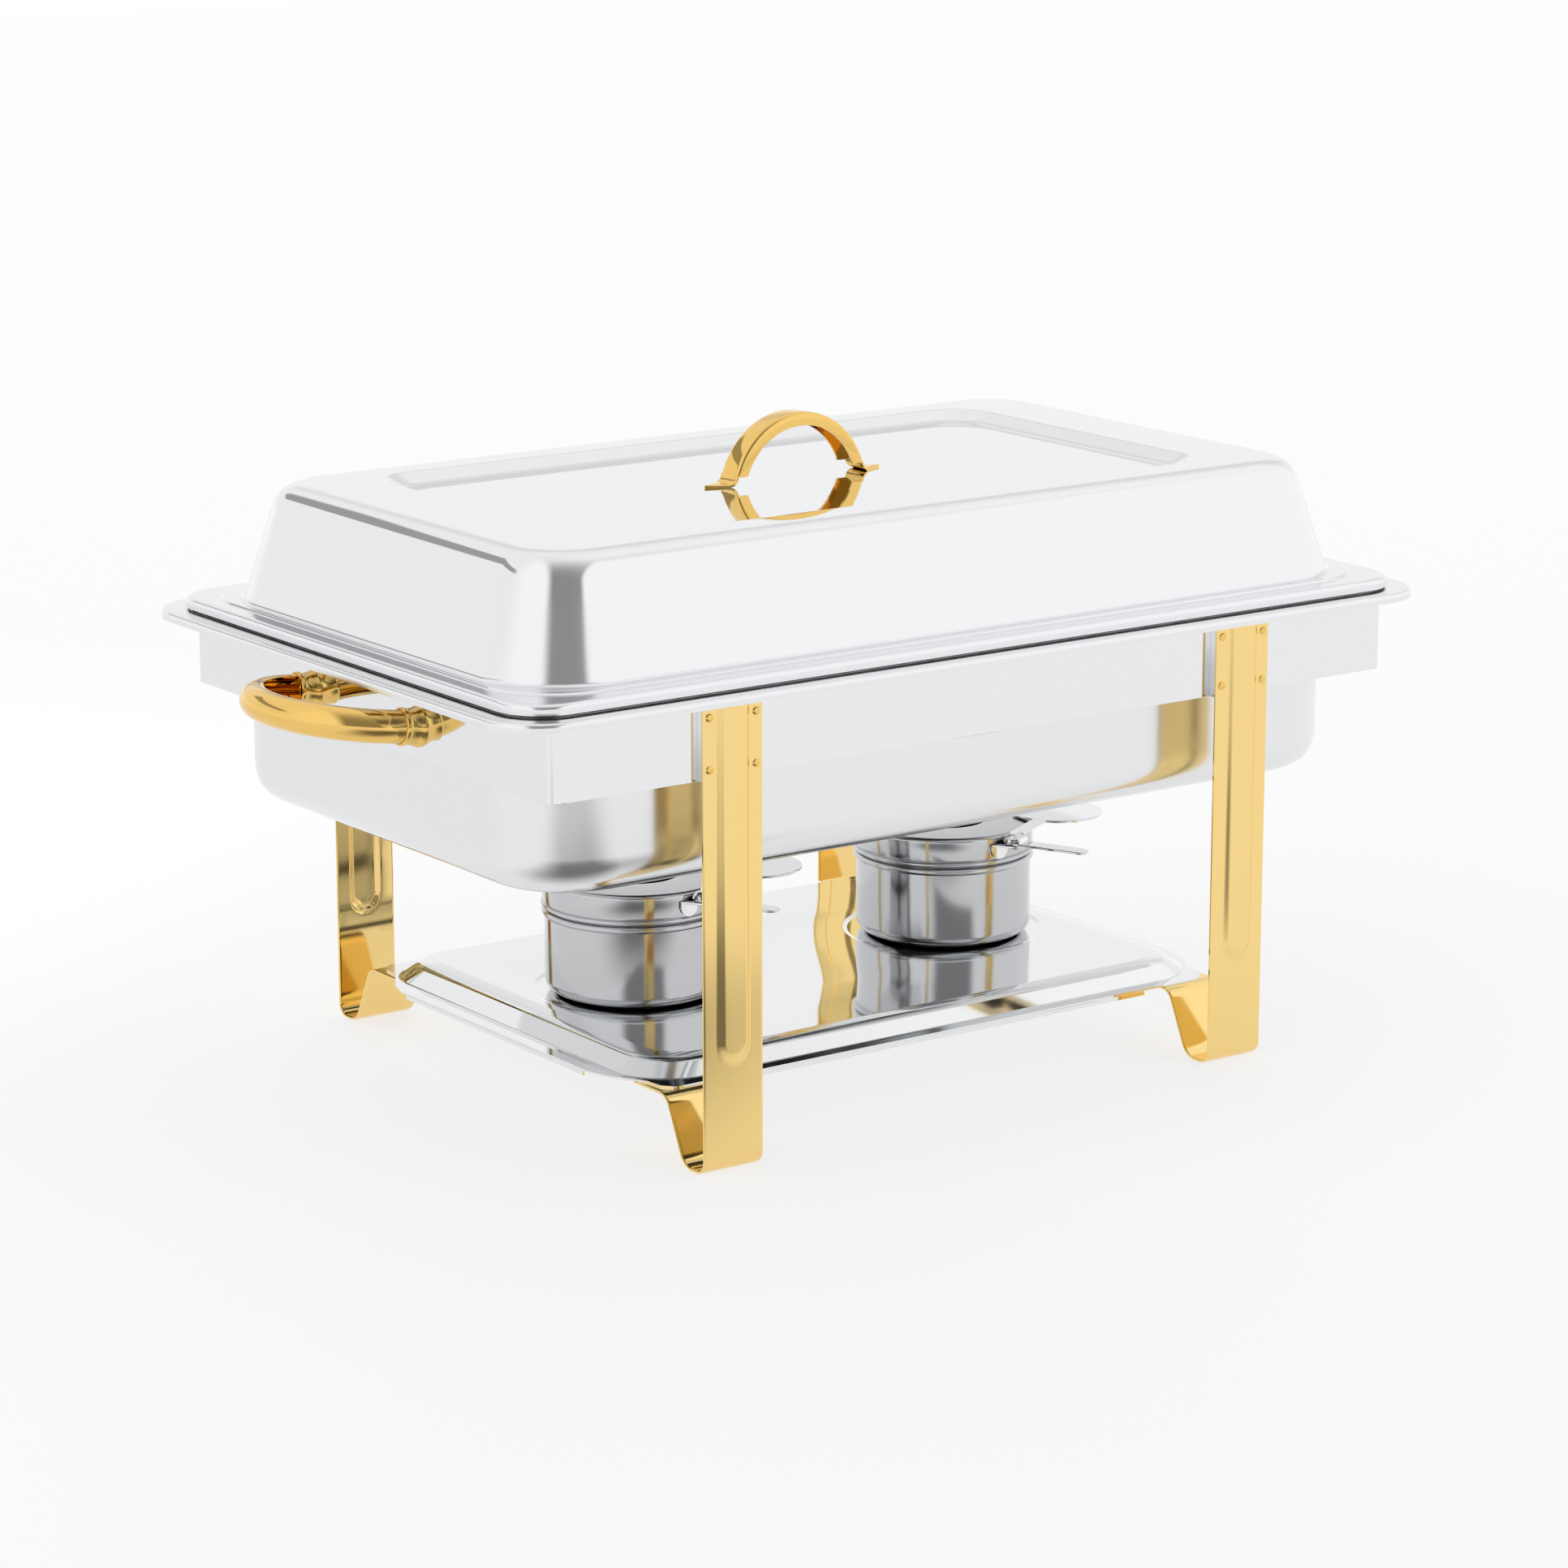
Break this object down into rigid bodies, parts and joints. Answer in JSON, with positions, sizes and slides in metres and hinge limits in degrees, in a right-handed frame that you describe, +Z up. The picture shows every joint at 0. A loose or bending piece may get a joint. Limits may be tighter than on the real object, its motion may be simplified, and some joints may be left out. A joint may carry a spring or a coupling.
{
  "type": "buffet server",
  "caption": "Full-size table-top buffet server: domed lift-off lid, food pan in a water pan, legged stand with burner shelf and swivel-snuffed burner pots.",
  "frame": {"origin": "on the table plane, at the centre of the overall bounding box", "axes": "+Z up, X along the long side, the front long side faces -Y"},
  "size_m": [0.6282, 0.3544, 0.3287],
  "materials": {
    "polished_steel": "mirror polished",
    "gold_plate": "polished gold-coloured plating"
  },
  "bodies": {
    "frame": {"frame_band": "polished_steel", "leg_front_left": "gold_plate", "leg_front_right": "gold_plate", "leg_back_left": "gold_plate", "leg_back_right": "gold_plate", "leg_rivets_front_left": "gold_plate", "leg_rivets_front_right": "gold_plate", "leg_rivets_back_left": "gold_plate", "leg_rivets_back_right": "gold_plate", "side_handle_left": "gold_plate", "side_handle_right": "gold_plate", "handle_ferrules_left": "gold_plate", "handle_ferrules_right": "gold_plate", "burner_shelf": "polished_steel"},
    "water_pan": {"water_pan": "polished_steel"},
    "food_pan": {"food_pan": "polished_steel"},
    "lid": {"lid_dome": "polished_steel", "lid_handle": "gold_plate"},
    "pot_left": {"burner_pot_left": "polished_steel"},
    "pot_right": {"burner_pot_right": "polished_steel"},
    "cover_left": {"burner_cover_left": "polished_steel", "snuffer_bracket_left": "polished_steel", "snuffer_pin_left": "polished_steel"},
    "cover_right": {"burner_cover_right": "polished_steel", "snuffer_bracket_right": "polished_steel", "snuffer_pin_right": "polished_steel"},
    "snuffer_left": {"snuffer_left": "polished_steel"},
    "snuffer_right": {"snuffer_right": "polished_steel"}
  },
  "joints": [
    {"name": "water_pan_lift", "type": "slide", "parent": "frame", "child": "water_pan", "axis": [0, 0, 1], "range_m": [0, 0.11]},
    {"name": "food_pan_lift", "type": "slide", "parent": "water_pan", "child": "food_pan", "axis": [0, 0, 1], "range_m": [0, 0.08]},
    {"name": "lid_lift", "type": "slide", "parent": "food_pan", "child": "lid", "axis": [0, 0, 1], "range_m": [0, 0.1]},
    {"name": "pot_left_lift", "type": "slide", "parent": "frame", "child": "pot_left", "axis": [0, 0, 1], "range_m": [0, 0.01]},
    {"name": "pot_right_lift", "type": "slide", "parent": "frame", "child": "pot_right", "axis": [0, 0, 1], "range_m": [0, 0.01]},
    {"name": "cover_left_lift", "type": "slide", "parent": "pot_left", "child": "cover_left", "axis": [0, 0, 1], "range_m": [0, 0.015]},
    {"name": "cover_right_lift", "type": "slide", "parent": "pot_right", "child": "cover_right", "axis": [0, 0, 1], "range_m": [0, 0.015]},
    {"name": "snuffer_left_swing", "type": "hinge", "parent": "cover_left", "child": "snuffer_left", "pos_m": [-0.0922, -0.054, 0.1], "axis": [0, 0, 1], "range_deg": [0, 68.5]},
    {"name": "snuffer_right_swing", "type": "hinge", "parent": "cover_right", "child": "snuffer_right", "pos_m": [0.1042, -0.054, 0.1], "axis": [0, 0, 1], "range_deg": [0, 68.5]}
  ]
}
